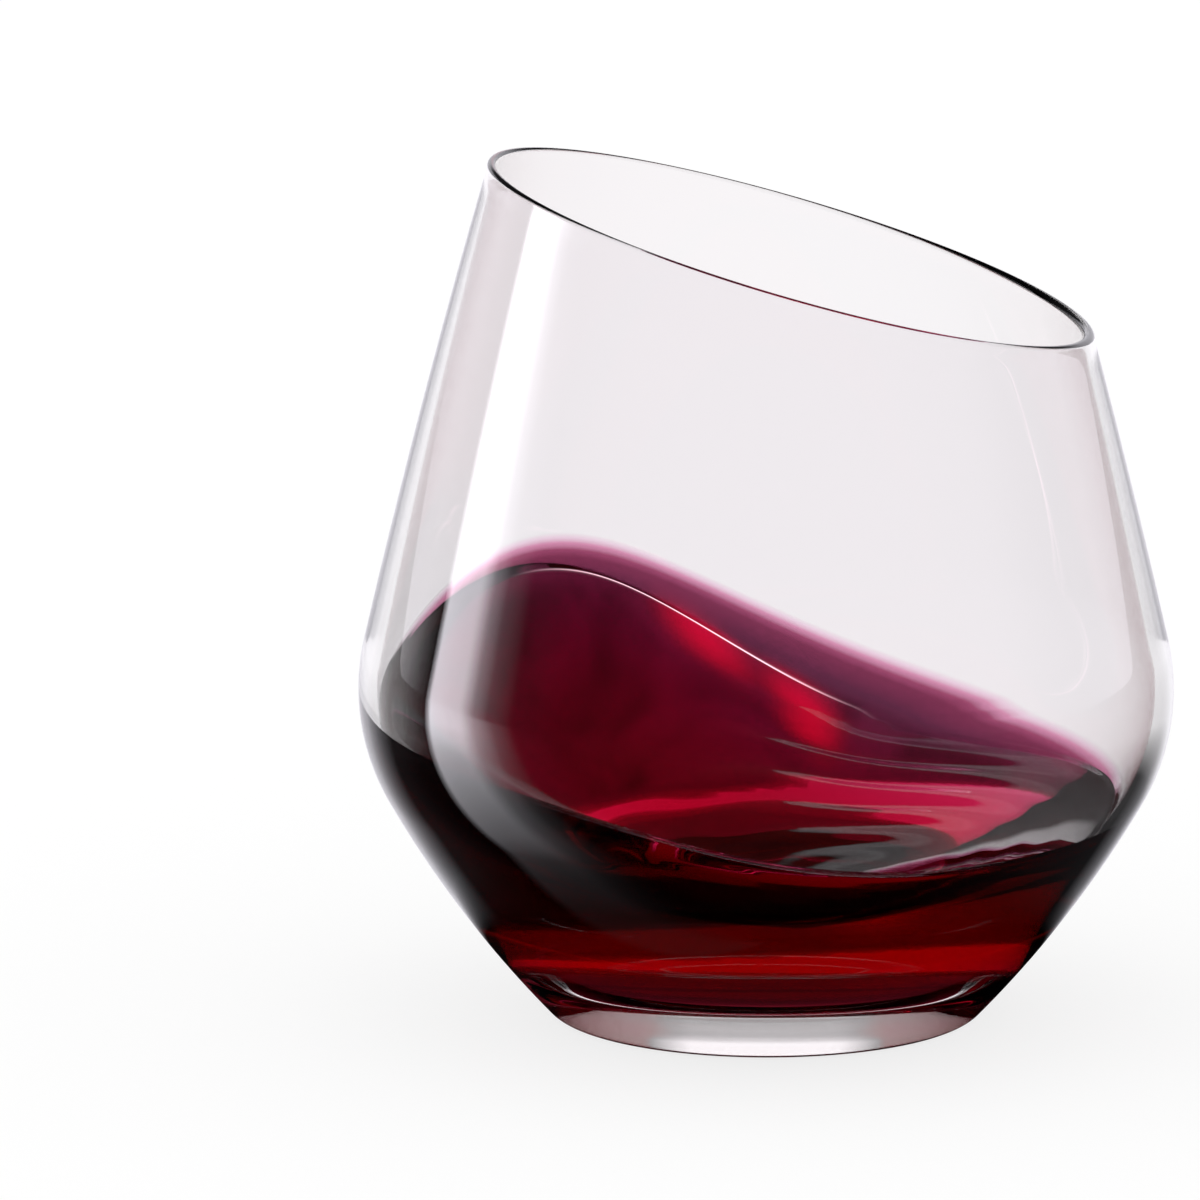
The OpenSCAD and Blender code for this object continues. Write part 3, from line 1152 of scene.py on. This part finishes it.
    def world(self, group: bpy.types.NodeTree) -> None:
        """Surround the glass: white to look through, and the soft lights to be reflected.

        Args:
            group: The group that glow_group makes.
        """
        world = bpy.data.worlds.new("studio")
        bpy.context.scene.world = world
        world.use_nodes = True
        world.cycles.sampling_method = "NONE"
        tree = world.node_tree
        coords = tree.nodes.new("ShaderNodeTexCoord")
        glow = tree.nodes.new("ShaderNodeGroup")
        glow.node_tree = group
        tree.links.new(coords.outputs["Generated"], glow.inputs["Direction"])
        path = tree.nodes.new("ShaderNodeLightPath")
        shown = mixed(tree, 1.0, glow.outputs["Around"], glow.outputs["Overhead"], Laid.TIMES)
        shown = mixed(tree, 1.0, shown, self.cool, Laid.TIMES)
        inner = mixed(tree, self.crossed(tree, path), glow.outputs["Behind"], glow.outputs["Bounced"])
        through = mixed(tree, path.outputs["Glossy Depth"], glow.outputs["Skyline"], inner)
        lit = mixed(tree, path.outputs["Is Transmission Ray"], shown, through)
        lit = mixed(tree, path.outputs["Is Diffuse Ray"], lit, 1.0)
        lit = mixed(tree, path.outputs["Is Camera Ray"], lit, 1.0)
        tree.links.new(lit, tree.nodes["Background"].inputs["Color"])

    def floor_finish(self, group: bpy.types.NodeTree) -> bpy.types.Material:
        """Make the floor's finish: pale paint, with a plain light of its own that keeps it white.

        Args:
            group: The group that glow_group makes.

        Returns:
            The floor's material.
        """
        material = bpy.data.materials.new("floor")
        material.use_nodes = True
        tree = material.node_tree
        shader = tree.nodes["Principled BSDF"]
        shader.inputs["Roughness"].default_value = 1.0
        shader.inputs["Specular IOR Level"].default_value = 0.0
        shader.inputs["Emission Strength"].default_value = 1.0
        coords = tree.nodes.new("ShaderNodeTexCoord")
        shift = tree.nodes.new("ShaderNodeVectorMath")
        shift.inputs[1].default_value = (0.0, self.floor_shift * MM, 0.0)
        tree.links.new(coords.outputs["Object"], shift.inputs[0])
        glow = tree.nodes.new("ShaderNodeGroup")
        glow.node_tree = group
        tree.links.new(shift.outputs[0], glow.inputs["Direction"])
        span = tree.nodes.new("ShaderNodeVectorMath")
        span.operation = "LENGTH"
        tree.links.new(coords.outputs["Object"], span.inputs[0])
        near = ranged(tree, span.outputs["Value"], (0.0, self.floor_near * MM))
        path = tree.nodes.new("ShaderNodeLightPath")
        paint = mixed(tree, path.outputs["Glossy Depth"], self.floor_paint, 0.0)
        tree.links.new(paint, shader.inputs["Base Color"])
        # Painted shade: the floor that the glass mirrors is dark round and under the foot.
        apart = mixed(tree, 1.0, self.clear.read(tree, near), glow.outputs["Behind"], Laid.TIMES)
        kept = mixed(tree, 1.0, self.fading.read(tree, near), apart, Laid.LIGHTER)
        shown = mixed(tree, 1.0, glow.outputs["Beneath"], kept, Laid.TIMES)
        shown = mixed(tree, 1.0, shown, self.cool, Laid.TIMES)
        # Painted shade too, for the floor seen by light mirrored inside the glass.
        inner = mixed(tree, 1.0, glow.outputs["Behind"], self.beyond.read(tree, near), Laid.TIMES)
        inner = mixed(tree, self.crossed(tree, path), inner, self.reddened)
        lit = mixed(tree, path.outputs["Glossy Depth"], self.floor_light, inner)
        lit = mixed(tree, path.outputs["Is Reflection Ray"], lit, shown)
        tree.links.new(lit, shader.inputs["Emission Color"])
        return material

    def floor(self, group: bpy.types.NodeTree) -> None:
        """Lay the pale floor just under the foot.

        Args:
            group: The group that glow_group makes.
        """
        half = self.floor_size / 2
        corners = np.array([[-half, -half], [half, -half], [half, half], [-half, half]])
        points = np.column_stack([corners, np.full(4, -self.floor_drop)])
        floor = mesh_object("floor", points, np.array([[0, 1, 2, 3]]), np.zeros(1, int))
        floor.data.materials.append(self.floor_finish(group))

    def build(self) -> None:
        """Set up the whole studio."""
        scene = bpy.context.scene
        scene.view_settings.view_transform = "Standard"
        scene.cycles.max_bounces = self.bounces
        scene.cycles.transmission_bounces = self.bounces
        scene.cycles.glossy_bounces = self.mirror_bounces
        self.camera()
        group = self.glow_group()
        self.world(group)
        self.floor(group)


def main() -> None:
    """Build the studio and each piece, and dress them."""
    logging.basicConfig(level=logging.INFO, format="%(name)s: %(message)s")
    Studio().build()
    outline, swirl = GlassOutline(), Swirl()
    for part in (GlassBody(outline, swirl), RedWine(outline, swirl)):
        piece = part.build()
        part.dress(piece)
        log.info("%s: %d faces", piece.name, len(piece.data.polygons))


if __name__ == "__main__":
    main()
